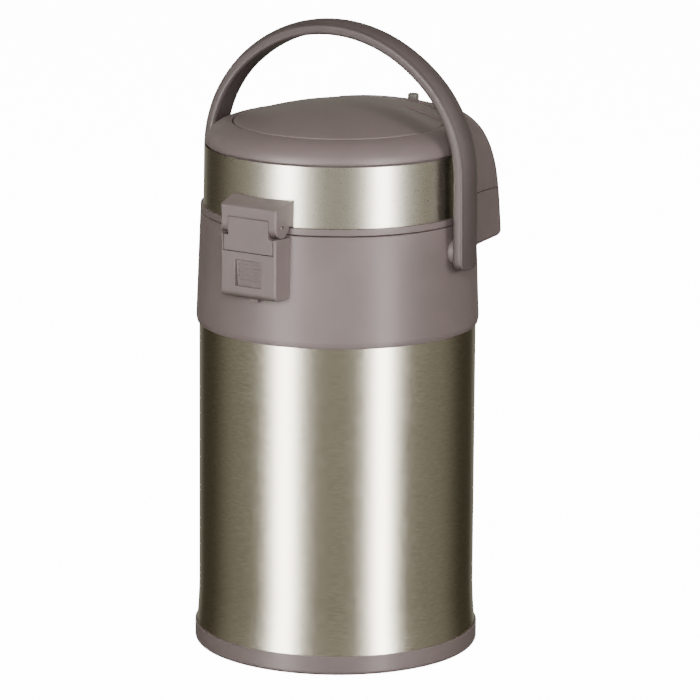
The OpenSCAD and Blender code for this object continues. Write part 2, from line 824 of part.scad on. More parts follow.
non_slip_ring();
base_ring();
base_cover();
base_screws();
vacuum_plate();
outer_shell();
inner_liner();
neck_gasket();
mouth_collar();
pipe_seal();
shoulder();
spout_shell();
spout_nozzle();
dip_tube();
tube_joint();
discharge_pipe();
hinge_housing();
hinge_plate();
hinge_pin();
housing_screws();
release_slider();
release_springs();
handle();
pivot_washers();
pivot_clips();
lid_base();
lid_band();
lid_cover();
hinge_bracket();
bracket_screws();
inner_lid();
lid_gasket();
lid_screws();
tip_valve_cage();
tip_valve_ball();
bellows_base();
bellows();
bellows_cap();
return_spring();
inlet_valve();
check_valve();
push_plate();
lock_knob();
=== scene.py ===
"""Looks for the thermal coffee airpot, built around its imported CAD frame. Metres, +Z up, spout towards -Y.

The sculpted pieces are worked out in millimetres, and piece() turns them into metres.
"""

import json
import math

import bmesh
import bpy
import numpy as np
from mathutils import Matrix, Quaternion, Vector


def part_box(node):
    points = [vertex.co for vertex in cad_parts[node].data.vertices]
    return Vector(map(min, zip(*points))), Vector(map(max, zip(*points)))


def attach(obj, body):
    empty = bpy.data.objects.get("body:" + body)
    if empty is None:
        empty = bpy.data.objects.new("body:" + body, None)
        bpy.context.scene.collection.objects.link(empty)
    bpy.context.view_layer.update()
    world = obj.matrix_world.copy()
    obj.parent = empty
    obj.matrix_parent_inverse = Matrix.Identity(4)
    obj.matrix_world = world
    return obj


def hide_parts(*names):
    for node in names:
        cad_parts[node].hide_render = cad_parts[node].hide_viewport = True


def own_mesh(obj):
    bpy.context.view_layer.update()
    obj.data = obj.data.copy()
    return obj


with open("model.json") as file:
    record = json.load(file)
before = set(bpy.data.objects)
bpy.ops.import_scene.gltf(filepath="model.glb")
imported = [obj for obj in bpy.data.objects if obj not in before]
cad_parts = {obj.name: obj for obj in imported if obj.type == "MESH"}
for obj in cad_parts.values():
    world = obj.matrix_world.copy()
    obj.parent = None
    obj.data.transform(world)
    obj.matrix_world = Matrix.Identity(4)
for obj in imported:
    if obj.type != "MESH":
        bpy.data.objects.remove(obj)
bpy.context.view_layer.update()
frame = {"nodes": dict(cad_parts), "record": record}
nodes = frame["nodes"]
scene = bpy.context.scene
MM = 0.001

# Viewing direction of the photograph, as degrees round the vertical axis and down from the horizon.
VIEW_AZIMUTH = 214.0
VIEW_DISTANCE = 2.831
VIEW_HEIGHT = 0.8288
VIEW_PITCH = 12.96
VIEW_ROLL = 0.35
VIEW_LENS = 251.6
VIEW_SHIFT = 0.0181

SHARP_EDGE = math.radians(35)       # edges with a sharper bend than this aren't shaded smooth
WEAR_RADIUS = 0.0008
EDGE_ROUNDING = 0.0005


# ---- Node helpers ----

def new_material(name):
    """A material with an empty tree but for its Principled shader; returns (material, tree, shader)."""
    material = bpy.data.materials.new(name)
    material.use_nodes = True
    tree = material.node_tree
    return material, tree, tree.nodes["Principled BSDF"]


def add(tree, kind, **settings):
    """A new node of a kind, with its settings."""
    node = tree.nodes.new(kind)
    for key, value in settings.items():
        setattr(node, key, value)
    return node


def stretched_noise(tree, scale, detail, stretch=(1, 1, 1)):
    """Noise over the object's own coordinates, quick to vary along an axis with a large stretch value."""
    place = add(tree, "ShaderNodeTexCoord")
    mapping = add(tree, "ShaderNodeMapping")
    mapping.inputs["Scale"].default_value = stretch
    noise = add(tree, "ShaderNodeTexNoise")
    noise.inputs["Scale"].default_value = scale
    noise.inputs["Detail"].default_value = detail
    tree.links.new(place.outputs["Object"], mapping.inputs["Vector"])
    tree.links.new(mapping.outputs["Vector"], noise.inputs["Vector"])
    return noise.outputs["Fac"]


def ramp(tree, fac, stops):
    """Colour ramp over fac, from a list of (position, (r, g, b))."""
    node = add(tree, "ShaderNodeValToRGB")
    ends = node.color_ramp.elements
    while len(ends) < len(stops):
        ends.new(0.5)
    for end, (position, colour) in zip(ends, stops):
        end.position = position
        end.color = (*colour, 1)
    tree.links.new(fac, node.inputs["Fac"])
    return node.outputs["Color"]


def remap(tree, value, low, high, from_low=0.3, from_high=0.7):
    """value, whose usual range is from_low to from_high, spread over low to high."""
    node = add(tree, "ShaderNodeMapRange")
    for key, number in (("From Min", from_low), ("From Max", from_high), ("To Min", low), ("To Max", high)):
        node.inputs[key].default_value = number
    tree.links.new(value, node.inputs["Value"])
    return node.outputs["Result"]


def blend_colours(tree, fac, a, b):
    """Colour a where fac is 0 and b where it is 1; a and b are sockets or plain colours."""
    node = add(tree, "ShaderNodeMix", data_type="RGBA")
    tree.links.new(fac, node.inputs[0])
    for socket, colour in ((node.inputs[6], a), (node.inputs[7], b)):
        if isinstance(colour, bpy.types.NodeSocket):
            tree.links.new(colour, socket)
        else:
            socket.default_value = (*colour, 1)
    return node.outputs[2]


def rounded_normal(tree, radius):
    """The normal as it would be with the edges rounded."""
    bevel = add(tree, "ShaderNodeBevel", samples=4)
    bevel.inputs["Radius"].default_value = radius
    return bevel.outputs["Normal"]


def edge_wear(tree):
    """1 on edges and 0 on flat ground, from the normal before and after rounding."""
    ground = add(tree, "ShaderNodeNewGeometry")
    dot = add(tree, "ShaderNodeVectorMath", operation="DOT_PRODUCT")
    tree.links.new(rounded_normal(tree, WEAR_RADIUS), dot.inputs[0])
    tree.links.new(ground.outputs["Normal"], dot.inputs[1])
    return remap(tree, dot.outputs["Value"], 1.0, 0.0, 0.80, 0.98)


def bump(tree, height, strength, distance, normal=None):
    """A normal roughened by height, on top of another normal if there is one."""
    node = add(tree, "ShaderNodeBump")
    node.inputs["Strength"].default_value = strength
    node.inputs["Distance"].default_value = distance
    tree.links.new(height, node.inputs["Height"])
    if normal is not None:
        tree.links.new(normal, node.inputs["Normal"])
    return node.outputs["Normal"]


def shade(colour, factor, added=0.0):
    """The colour made lighter or darker by a factor, then raised by a little."""
    return [min(1, c * factor + added) for c in colour]


# ---- Materials ----

def moulded_plastic(name, colour, rough=0.42, grain=0.5, coat=0.0):
    """Satin moulded plastic: faint cloudy colour, spark-eroded grain and slightly polished edges."""
    material, tree, shader = new_material(name)
    clouds = stretched_noise(tree, 22, 4)
    body = ramp(tree, clouds, [(0.32, shade(colour, 0.94)), (0.68, shade(colour, 1.07))])
    faded = remap(tree, edge_wear(tree), 0.0, 0.35, 0.0, 1.0)
    worn = shade(colour, 1.35, 0.01)
    tree.links.new(blend_colours(tree, faded, body, worn), shader.inputs["Base Color"])
    tree.links.new(remap(tree, clouds, rough - 0.05, rough + 0.05), shader.inputs["Roughness"])
    fine = stretched_noise(tree, 2600, 2)
    rounded = rounded_normal(tree, EDGE_ROUNDING)
    tree.links.new(bump(tree, fine, grain, 0.00004, rounded), shader.inputs["Normal"])
    shader.inputs["Specular IOR Level"].default_value = 0.5
    shader.inputs["Coat Weight"].default_value = coat
    shader.inputs["Coat Roughness"].default_value = 0.12
    return material


def brushed_metal(name, colour, rough, stretch, scale, spread=0.06, anisotropy=0.0):
    """Satin metal with hairline brushing across the axis that stretch is largest for."""
    material, tree, shader = new_material(name)
    lines = stretched_noise(tree, scale, 3, stretch)
    clouds = stretched_noise(tree, 14, 3)
    body = ramp(tree, lines, [(0.30, shade(colour, 0.90)), (0.70, shade(colour, 1.06))])
    stain = remap(tree, clouds, 0.0, 0.3)
    tree.links.new(blend_colours(tree, stain, body, shade(colour, 0.86)), shader.inputs["Base Color"])
    tree.links.new(remap(tree, lines, rough - spread, rough + spread), shader.inputs["Roughness"])
    tree.links.new(bump(tree, lines, 0.03, 0.00003), shader.inputs["Normal"])
    shader.inputs["Metallic"].default_value = 1.0
    if anisotropy:
        tangent = add(tree, "ShaderNodeTangent", direction_type="RADIAL", axis="Z")
        shader.inputs["Anisotropic"].default_value = anisotropy
        tree.links.new(tangent.outputs["Tangent"], shader.inputs["Tangent"])
    return material


def sparkle_metal(name, colour, rough):
    """Metal with a fine raised grain that glitters."""
    material, tree, shader = new_material(name)
    place = add(tree, "ShaderNodeTexCoord")
    cells = add(tree, "ShaderNodeTexVoronoi", feature="F1")
    cells.inputs["Scale"].default_value = 2600
    tree.links.new(place.outputs["Object"], cells.inputs["Vector"])
    speck = stretched_noise(tree, 1600, 2)
    body = ramp(tree, speck, [(0.30, shade(colour, 0.90)), (0.70, shade(colour, 1.06))])
    tree.links.new(body, shader.inputs["Base Color"])
    tree.links.new(remap(tree, speck, rough - 0.03, rough + 0.04), shader.inputs["Roughness"])
    tree.links.new(bump(tree, cells.outputs["Distance"], 0.06, 0.00002), shader.inputs["Normal"])
    shader.inputs["Metallic"].default_value = 1.0
    return material


def soft_rubber(name, colour, rough=0.7):
    """Matt rubber with a pale bloom and a fine grain."""
    material, tree, shader = new_material(name)
    bloom = stretched_noise(tree, 160, 4)
    body = ramp(tree, bloom, [(0.3, colour), (0.75, shade(colour, 1.25, 0.01))])
    tree.links.new(body, shader.inputs["Base Color"])
    tree.links.new(remap(tree, bloom, rough - 0.08, rough + 0.08), shader.inputs["Roughness"])
    tree.links.new(bump(tree, stretched_noise(tree, 1400, 3), 0.5, 0.00008), shader.inputs["Normal"])
    return material


TAUPE = (0.172, 0.138, 0.138)
MATERIALS = {
    "taupe_plastic": moulded_plastic("taupe_plastic", TAUPE),
    "dark_plastic": moulded_plastic("dark_plastic", (0.07, 0.060, 0.056), 0.45),
    # The taupe plastic darkened to about half its brightness for the handle: painted shade for faces that
    # the lights hardly reach.
    "handle_taupe_painted_shade": moulded_plastic("handle_taupe_painted_shade", shade(TAUPE, 0.54)),
    "peg_plastic": moulded_plastic("peg_plastic", (0.16, 0.15, 0.13), 0.2, 0.1, 0.6),
    "brushed_shell": brushed_metal("brushed_shell", (0.65, 0.61, 0.53), 0.25, (1, 1, 7), 240, 0.02, 0.3),
    "grained_band": sparkle_metal("grained_band", (0.69, 0.66, 0.59), 0.30),
    "bright_steel": brushed_metal("bright_steel", (0.62, 0.62, 0.60), 0.22, (6, 6, 1), 500),
    "black_rubber": soft_rubber("black_rubber", (0.02, 0.02, 0.022)),
    "pale_silicone": soft_rubber("pale_silicone", (0.62, 0.60, 0.54), 0.5),
}

# Every CAD node takes the material that its record names.
for part in frame["record"]["subparts"]:
    mesh = nodes[part["node"]].data
    mesh.materials.clear()
    mesh.materials.append(MATERIALS[part["material_slot"]])


# ---- Sculpting: signed distances, negative inside, sampled on a grid and skinned with quads ----

def soft_min(a, b, k):
    """Union of two distances with a fillet about k wide."""
    h = np.maximum(k - np.abs(a - b), 0) / k
    return np.minimum(a, b) - h * h * k / 4


def rounded_and(a, b, r):
    """Intersection of two distances, its edge rounded to radius r."""
    inside = np.minimum(np.maximum(a + r, b + r), 0)
    return np.hypot(np.maximum(a + r, 0), np.maximum(b + r, 0)) + inside - r


def common(first, *others):
    """Intersection of any number of distances, with sharp edges."""
    for other in others:
        first = np.maximum(first, other)
    return first


def cut(form, tool):
    """The form with the tool taken away."""
    return np.maximum(form, -tool)


def smooth_step(x, low, high):
    """0 below low, 1 above high and a soft S between them."""
    t = np.clip((x - low) / (high - low), 0, 1)
    return t * t * (3 - 2 * t)


def outline_distance(points, u, v):
    """Signed distance from each (u, v) to a closed polygon, negative inside."""
    best = np.full(u.shape, 1e9, np.float32)
    inside = np.zeros(u.shape, bool)
    for (au, av), (bu, bv) in zip(points, points[1:] + points[:1]):
        du, dv = bu - au, bv - av
        t = np.clip(((u - au) * du + (v - av) * dv) / (du * du + dv * dv), 0, 1)
        best = np.minimum(best, np.hypot(u - au - t * du, v - av - t * dv))
        if dv:
            crosses = ((av > v) != (bv > v)) & (u < au + (v - av) * du / dv)
            inside ^= crosses
    return np.where(inside, -best, best)


def outline_lookup(outline, u_span, v_span, step):
    """A fast function of (u, v) for the distance to an outline: bilinear between entries step apart."""
    grid = np.meshgrid(np.arange(*u_span, step), np.arange(*v_span, step), indexing="ij")
    table = outline_distance(outline, *grid)

    def distance(u, v):
        i = np.clip((u - u_span[0]) / step, 0, table.shape[0] - 1.001)
        j = np.clip((v - v_span[0]) / step, 0, table.shape[1] - 1.001)
        a, b = i.astype(int), j.astype(int)
        f, g = i - a, j - b
        low = table[a, b] * (1 - f) + table[a + 1, b] * f
        high = table[a, b + 1] * (1 - f) + table[a + 1, b + 1] * f
        return low * (1 - g) + high * g
    return distance


def curve_through(points, steps):
    """Points on a smooth curve through the given ones (Catmull-Rom)."""
    p = [points[0]] + list(points) + [points[-1]]
    out = []
    for a, b, c, d in zip(p, p[1:], p[2:], p[3:]):
        for k in range(steps):
            t = k / steps
            out.append(tuple(
                0.5 * (2 * b[i] + (c[i] - a[i]) * t + (2 * a[i] - 5 * b[i] + 4 * c[i] - d[i]) * t ** 2
                       + (3 * b[i] - a[i] - 3 * c[i] + d[i]) * t ** 3) for i in (0, 1)))
    return out + [tuple(points[-1])]


def along(curve, y):
    """Value of a curve of (y, value) points at y."""
    table = sorted(curve)
    return np.interp(y, [p[0] for p in table], [p[1] for p in table])


def surface_cells(values):
    """Grid cells that the zero level passes through, and the mean place of the crossings within each."""
    shape = np.array(values.shape) - 1
    total = np.zeros((*shape, 3), np.float32)
    count = np.zeros(shape, np.int16)

    def at_corner(corner):
        return values[tuple(slice(c, c + n) for c, n in zip(corner, shape))]

    for near in [(i, j, k) for i in (0, 1) for j in (0, 1) for k in (0, 1)]:
        for axis in range(3):
            if near[axis]:
                continue
            far = tuple(1 if i == axis else near[i] for i in range(3))
            a, b = at_corner(near), at_corner(far)
            cross = (a < 0) != (b < 0)
            t = a[cross] / (a[cross] - b[cross])
            place = np.zeros((len(t), 3), np.float32) + np.array(near, np.float32)
            place[:, axis] = t
            total[cross] += place
            count[cross] += 1
    cells = np.argwhere(count > 0)
    return cells, total[tuple(cells.T)] / count[tuple(cells.T)][:, None]


def quads_across(inside, number, axis):
    """Quads round the grid edges along an axis that the zero level crosses; number is each cell's point."""
    u, v = [i for i in range(3) if i != axis]
    near = inside[tuple(slice(0, -1) if i == axis else slice(None) for i in range(3))]
    far = inside[tuple(slice(1, None) if i == axis else slice(None) for i in range(3))]
    at = np.argwhere(near != far)
    for way in (u, v):
        at = at[(at[:, way] > 0) & (at[:, way] < number.shape[way])]
    ring = []
    for du, dv in ((1, 1), (0, 1), (0, 0), (1, 0)):
        cell = at.copy()
        cell[:, u] -= du
        cell[:, v] -= dv
        ring.append(number[tuple(cell.T)])
    ring = np.stack(ring, 1)
    outward = inside[tuple(at.T)] != (axis == 1)
    ring[~outward] = ring[~outward][:, ::-1]
    return ring


def skin(values, place):
    """Surface-net mesh of the zero level of values on a 3-D grid; place turns grid indices into millimetres.

    Returns (points, quads), the quads facing the positive side.
    """
    cells, offsets = surface_cells(values)
    number = np.full(np.array(values.shape) - 1, -1, np.int64)
    number[tuple(cells.T)] = np.arange(len(cells))
    quads = [quads_across(values < 0, number, axis) for axis in range(3)]
    return place(cells + offsets), np.concatenate(quads)


# ---- Mesh pieces ----

def piece(name, points, faces, body, material, replaced):
    """A mesh object from points in millimetres, in place of a CAD node."""
    mesh = bpy.data.meshes.new(name)
    form = bmesh.new()
    made = [form.verts.new(Vector(map(float, p)) * MM) for p in points]
    for face in faces:
        corners = [made[i] for i in face]
        if not form.faces.get(corners):
            form.faces.new(corners)
    bmesh.ops.remove_doubles(form, verts=form.verts, dist=2e-6)
    bmesh.ops.delete(form, geom=[v for v in form.verts if not v.link_faces], context="VERTS")
    bmesh.ops.recalc_face_normals(form, faces=form.faces)
    for face in form.faces:
        face.smooth = True
    for edge in form.edges:
        edge.smooth = len(edge.link_faces) == 2 and edge.calc_face_angle(0) < SHARP_EDGE
    form.to_mesh(mesh)
    form.free()
    mesh.materials.append(MATERIALS[material])
    thing = bpy.data.objects.new(name, mesh)
    scene.collection.objects.link(thing)
    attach(thing, body)
    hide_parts(replaced)
    return thing


def tube(rings):
    """Points and faces of a tube through closed rings of as many points each, with a cap at either end."""
    count = len(rings[0])
    points = [point for ring in rings for point in ring]
    faces = [(at + i, at + (i + 1) % count, at + count + (i + 1) % count, at + count + i)
             for at in range(0, len(points) - count, count) for i in range(count)]
    return points, faces + [range(count)[::-1], range(len(points) - count, len(points))]


def square_ring(outer_r, wall, low, high, around=72):
    """Points and faces of an upright ring of rectangular section."""
    circle = [(math.cos(math.tau * i / around), math.sin(math.tau * i / around)) for i in range(around)]
    section = ((outer_r, low), (outer_r, high), (outer_r - wall, high), (outer_r - wall, low))
    points = [(r * c, r * s, z) for r, z in section for c, s in circle]
    faces = [(k * around + i, k * around + (i + 1) % around,
              (k + 1) % 4 * around + (i + 1) % around, (k + 1) % 4 * around + i)
             for k in range(4) for i in range(around)]
    return points, faces


def joined(*forms):
    """Several (points, faces) forms as one."""
    points, faces = [], []
    for own_points, own_faces in forms:
        faces += [[i + len(points) for i in face] for face in own_faces]
        points += own_points
    return points, faces


# ---- The lid's shapes, in millimetres ----

SHELL_WALL = 2.2
PLATE_LOW, PLATE_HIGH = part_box("push_plate")
PLATE_R = PLATE_HIGH.x / MM
PLATE_RIM = 316.0
DOME_TOP = PLATE_HIGH.z / MM
PLATE_RISE = DOME_TOP - PLATE_RIM
DOME_R = (PLATE_R ** 2 + PLATE_RISE ** 2) / (2 * PLATE_RISE)
WELL_R = PLATE_R + 0.6

# The cover's outside turns over into its top along a quarter of an oval, from EDGE_FROM outwards.
BAND_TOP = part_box("lid_band")[1].z / MM
COVER_LOW = BAND_TOP + 0.5
EDGE_LOW = COVER_LOW + 0.5
EDGE_FROM, EDGE_WIDTH, EDGE_RISE = 56, 22.8, 13.4
COVER_R = EDGE_FROM + EDGE_WIDTH

SEAM_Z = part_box("spout_shell")[1].z / MM
SHOULDER_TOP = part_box("shoulder")[1].z / MM
SPOUT_FRONT = -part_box("spout_shell")[0].y / MM
NOZZLE_Y, NOZZLE_HOLE_R = -138.0, 6.6
LOCK_Y, TONGUE_Z = -80.0, 307.9

# Side outline of the hood as (y, z): along its top from the plate to the front, then down its face.
HOOD_TOP = curve_through([
    (24, 324), (8, 326.6), (-10, 326.6), (-28, 325.5), (-40, 323.9), (-50, 322.2), (-60, 320.2),
    (-72, 317.6), (-84, 314.9), (-95, 312), (-107.4, 308.5), (-119.5, 302.6), (-129.5, 295.2),
    (-137.8, 285.2), (-143.6, 274), (-147.2, 262), (-149.6, 248), (-SPOUT_FRONT, 228)], 6)
RIDGE = [point for point in HOOD_TOP if point[1] > 300]
HOOD_SIDE = outline_lookup(HOOD_TOP + [(-SPOUT_FRONT, 205), (24, 205)], (-165, 30), (195, 335), 0.5)
# How much the hood's top falls off sideways, per mm squared, along y.
CROWN = curve_through([
    (24, 0.0029), (-11, 0.0029), (-20, 0.00316), (-28, 0.0035), (-36, 0.0034), (-50, 0.003),
    (-60, 0.0026), (-84, 0.0012), (-107, 0.0009), (-160, 0.0008)], 4)
# Half width of the hood along y.
HOOD_WIDTH = curve_through([
    (30, 27), (-10, 30.5), (-28, 34.5), (-42, 37), (-58, 35), (-80, 28.5), (-103, 24.4), (-125, 23),
    (-160, 23)], 8)


def ridge_height(x, y):
    """Height of the ridge; sideways it curves down as far as bend, then runs on straight."""
    side, bend = np.abs(x), 34.0
    fall = np.where(side < bend, side * side, bend * (2 * side - bend))
    return along(RIDGE, y) - along(CROWN, y) * fall


def dome_height(r):
    """Height of the plate's dome, and past its rim of the cover's rounded edge."""
    plate = DOME_TOP - DOME_R + np.sqrt(DOME_R ** 2 - np.minimum(r, PLATE_R) ** 2)
    across = np.clip((r - EDGE_FROM) / EDGE_WIDTH, 0, 0.999)
    cover = EDGE_LOW + EDGE_RISE * np.sqrt(1 - across ** 2)
    return np.where(r < PLATE_R, plate, cover)


def plate_height(x, y):
    """The dome, and towards the spout the ridge, with a straight flank from its crease down to the rim."""
    r = np.minimum(np.hypot(x, y), PLATE_R - 0.01)
    flank_slope, above_ridge, above_middle = 0.31, 40, 10
    flank = PLATE_RIM - 0.7 + flank_slope * (PLATE_R - r)
    flank = flank + above_ridge * smooth_step(-y, 33, 46)
    flank = flank + above_middle * (1 - smooth_step(np.abs(x), 12, 28))
    share = smooth_step(-y, -14, 12)
    return dome_height(r) * (1 - share) + soft_min(ridge_height(x, y), flank, 0.4) * share


def hood_rise(x, y):
    """How far the ridge stands above the cover's rounded edge, fading out beyond the hood's sides."""
    wide = along(HOOD_WIDTH, y)
    edge = np.minimum(np.abs(x), wide)
    rise = np.maximum(ridge_height(edge, y) - dome_height(np.hypot(edge, y)), 0)
    beyond = np.clip((np.abs(x) - wide) / 12, 0, 1)
    return rise * (1 - beyond) ** 2 * smooth_step(-y, 28, 40)


def hood_distance(x, y, z):
    """Signed distance to the whole hood, upper and lower half together."""
    crowned_z = z + along(CROWN, y) * x * x * smooth_step(z, 285, 310)
    side_edge = 1.5 + 8.5 * smooth_step(-y, 62, 104)
    body = rounded_and(HOOD_SIDE(y, crowned_z), np.abs(x) - along(HOOD_WIDTH, y), side_edge)
    underside = 225 - 0.08 * (y + 141.8)
    return rounded_and(body, underside - z, 3.0)


def shoulder_radius(z):
    """Outer radius of the shoulder, from its widest part up to the seam under the lid."""
    widest_z, widest_r, taper = 200, 83.8, 2.4
    return widest_r - np.clip((z - widest_z) / (SHOULDER_TOP - widest_z), 0, 1) * taper


def cover_section():
    """Distance, as a function of (radius, height), to the cover's solid outline without its hood."""
    inner_r, low, crest, steps = 40, 280, 316.7, 24
    outline = [(inner_r, low), (COVER_R, low), (COVER_R, COVER_LOW + 0.3)]
    for k in range(steps + 1):
        a = math.radians(90 * k / steps)
        outline.append((EDGE_FROM + EDGE_WIDTH * math.cos(a), EDGE_LOW + EDGE_RISE * math.sin(a)))
    return outline_lookup(outline + [(inner_r, crest)], (inner_r, 160), (250, 330), 0.4)


def cover_distance(x, y, z):
    """Distance to the cover with its half of the hood: a hollow moulding with a well for the plate."""
    band_room_r, collar_room_r, collar_room_top = 79.85, 81.5, 266.7
    r = np.hypot(x, y)
    raised = hood_rise(x, y) * (1 - smooth_step(r, 70, 79))
    form = soft_min(cover_section()(r, z - raised), hood_distance(x, y, z), 5.0)
    form = cut(form, common(form + SHELL_WALL, WELL_R + SHELL_WALL - r))
    form = cut(form, common(r - band_room_r, z - COVER_LOW - 0.3))
    form = cut(form, common(r - collar_room_r, z - collar_room_top))
    form = common(form, np.minimum(shoulder_radius(z) + 0.3 - r, SHOULDER_TOP + 0.3 - z))
    well_wall = common(r - WELL_R - SHELL_WALL, 271 - z, z - COVER_LOW - 6)
    locating_lip = common(np.abs(r - 76.2) - 0.8, 296 - z, z - COVER_LOW - 2)
    form = np.minimum(form, np.minimum(well_wall, locating_lip))
    form = rounded_and(form, WELL_R - r, 0.5)
    peg_slot = common(np.abs(x) - 3.7, np.abs(y - LOCK_Y - 3) - 7, 306 - z)
    tongue_slot = common(np.abs(x) - 4.3, np.abs(z - TONGUE_Z) - 1.3, np.abs(y + 61) - 7)
    form = cut(form, np.minimum(peg_slot, tongue_slot))
    return common(form, SEAM_Z + 0.4 - z)


def lid_cover():
    """Domed cover and the upper half of the spout hood in one moulding.

    The grid goes round the axis, in finer steps at the hood, and ends one step past where it began.
    """
    fine, coarse, step = 0.35, 1.25, 0.8
    start, hood_end, end = -118, -62, 242
    sides = np.concatenate([np.arange(start, hood_end, fine), np.arange(hood_end, end, coarse)])
    turns = np.radians(np.append(sides, [end, end + fine]))
    radii = np.arange(WELL_R - 1.6, 156, step)
    heights = np.arange(SEAM_Z - 1.2, 323.5, step)
    turn, r, z = np.meshgrid(turns, radii, heights, indexing="ij")

    def place(at):
        at_turn = np.interp(at[:, 0], np.arange(len(turns)), turns)
        out = radii[0] + at[:, 1] * step
        return np.stack([out * np.cos(at_turn), out * np.sin(at_turn), heights[0] + at[:, 2] * step], 1)

    points, quads = skin(cover_distance(r * np.cos(turn), r * np.sin(turn), z), place)
    piece("lid_cover_shell", points, quads, "lid", "taupe_plastic", "lid_cover")


def spout_shell():
    """Lower half of the spout hood, fixed to the shoulder, open inside and pierced for the nozzle."""
    step = 0.7
    spans = [np.arange(low, high, step) for low, high in ((-31.5, 31.6), (-153.5, -76), (216, SEAM_Z + 1.5))]
    x, y, z = np.meshgrid(*spans, indexing="ij")
    hood = hood_distance(x, y, z)
    form = cut(hood, hood + SHELL_WALL)
    form = common(form, shoulder_radius(z) + 0.05 - np.hypot(x, y))
    form = common(form, NOZZLE_HOLE_R - np.hypot(x, y - NOZZLE_Y))
    form = common(form, z - SEAM_Z)
    points, quads = skin(form, lambda at: np.array([span[0] for span in spans]) + at * step)
    piece("spout_lower_shell", points, quads, "vessel", "taupe_plastic", "spout_shell")


def plate_form():
    """Points and faces of the push plate: a crowned top, and a skirt with the lock's slot through it."""
    around, wall, edge = 288, 2.6, 0.7
    slot_low, slot_high, slot_steps = TONGUE_Z - 1.3, TONGUE_Z + 1.3, 8
    skirt_low = PLATE_LOW.z / MM
    turns = np.linspace(0, 2 * math.pi, around, endpoint=False)
    points, rows = [(0, 0, float(plate_height(np.array(0.0), np.array(0.0))))], []

    def ring(radius, height):
        """One ring of the plate; height is a number, or a function of x and y."""
        x, y = radius * np.cos(turns), radius * np.sin(turns)
        z = height(x, y) if callable(height) else np.full(around, float(height))
        rows.append(range(len(points), len(points) + around))
        points.extend(zip(x, y, z))
        return len(rows) - 1

    for radius in np.linspace(0.9, PLATE_R - edge, 76):
        ring(radius, plate_height)
    for angle in (30, 60, 90):
        a = math.radians(angle)
        drop = edge * (1 - math.cos(a))
        ring(PLATE_R - edge + edge * math.sin(a), lambda x, y: plate_height(x, y) - drop)
    outer = ring(PLATE_R, slot_high)
    ring(PLATE_R, slot_low)
    ring(PLATE_R, skirt_low)
    ring(PLATE_R - wall, skirt_low)
    inner = ring(PLATE_R - wall, slot_low)
    ring(PLATE_R - wall, slot_high)
    for radius in np.linspace(PLATE_R - wall, 1.5, 12):
        ring(radius, float(dome_height(np.array(radius))) - wall)
    points.append((0, 0, DOME_TOP - wall))

    # Steps round the rim that the slot takes up, in the middle of the side towards the spout.
    front = around * 3 // 4
    slot = range(front - slot_steps // 2, front + slot_steps // 2)
    faces = [(0, rows[0][i], rows[0][(i + 1) % around]) for i in range(around)]
    for index, (a, b) in enumerate(zip(rows, rows[1:])):
        faces += [(a[i], b[i], b[(i + 1) % around], a[(i + 1) % around]) for i in range(around)
                  if not (index in (outer, inner) and i in slot)]
    faces += [(len(points) - 1, rows[-1][(i + 1) % around], rows[-1][i]) for i in range(around)]
    for i in slot:
        faces += [(rows[a][i], rows[a][i + 1], rows[b][i + 1], rows[b][i])
                  for a, b in ((outer, inner + 1), (outer + 1, inner))]
    for i in (slot[0], slot[-1] + 1):
        faces.append((rows[outer][i], rows[outer + 1][i], rows[inner][i], rows[inner + 1][i]))
    return points, faces


def push_plate():
    """Domed push plate with the ridge that runs to the spout, and two rings that stand on the bellows."""
    cap_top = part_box("bellows_cap")[1].z / MM
    rings = [square_ring(r, 2, cap_top, float(dome_height(np.array(r))) - 1.5) for r in (12, 40)]
    points, faces = joined(plate_form(), *rings)
    piece("push_plate_top", points, faces, "plunger", "taupe_plastic", "push_plate")


# ---- Springs and bellows ----


def springy(node, body):
    """A copy of a CAD node's mesh in the node's place, attached to a body, with the CAD node hidden."""
    thing = bpy.data.objects.new(node + "_folds", nodes[node].data.copy())
    scene.collection.objects.link(thing)
    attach(thing, body)
    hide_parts(node)
    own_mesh(thing)


# ---- Handle, in millimetres ----

STRAP_MIDDLE = 3.75         # from the strap's middle line to its outer face
STRAP_HALF = 9              # half the strap's width
FOOT_CROWN, LEG_CROWN, BOW_CROWN = 0.7, 1.3, 2.6
PIVOT_Z = 247


def strap_section(crown, half):
    """Section of the strap as (outwards, across), flat inside and crowned outside.

    Past the straight legs the inside face drops away as the crown grows, so the bow is the stouter part.
    """
    inner, outer = 2.2, 1.5         # corner radii
    edge = STRAP_MIDDLE - crown
    under = STRAP_MIDDLE + max(0, crown - LEG_CROWN)
    side = []
    for k in range(5):
        side.append((-under, k / 4 * (half - inner)))
    for k in range(1, 7):
        a = math.radians(15 * k)
        side.append((inner - under - inner * math.cos(a), half - inner + inner * math.sin(a)))
    for k in range(7):
        a = math.radians(15 * k)
        side.append((edge - outer + outer * math.sin(a), half - outer + outer * math.cos(a)))
    for k in range(1, 9):
        w = (half - outer) * (1 - k / 8)
        side.append((edge + crown * (1 - (w / (half - outer)) ** 2), w))
    return side + [(n, -w) for n, w in side[-2:0:-1]]


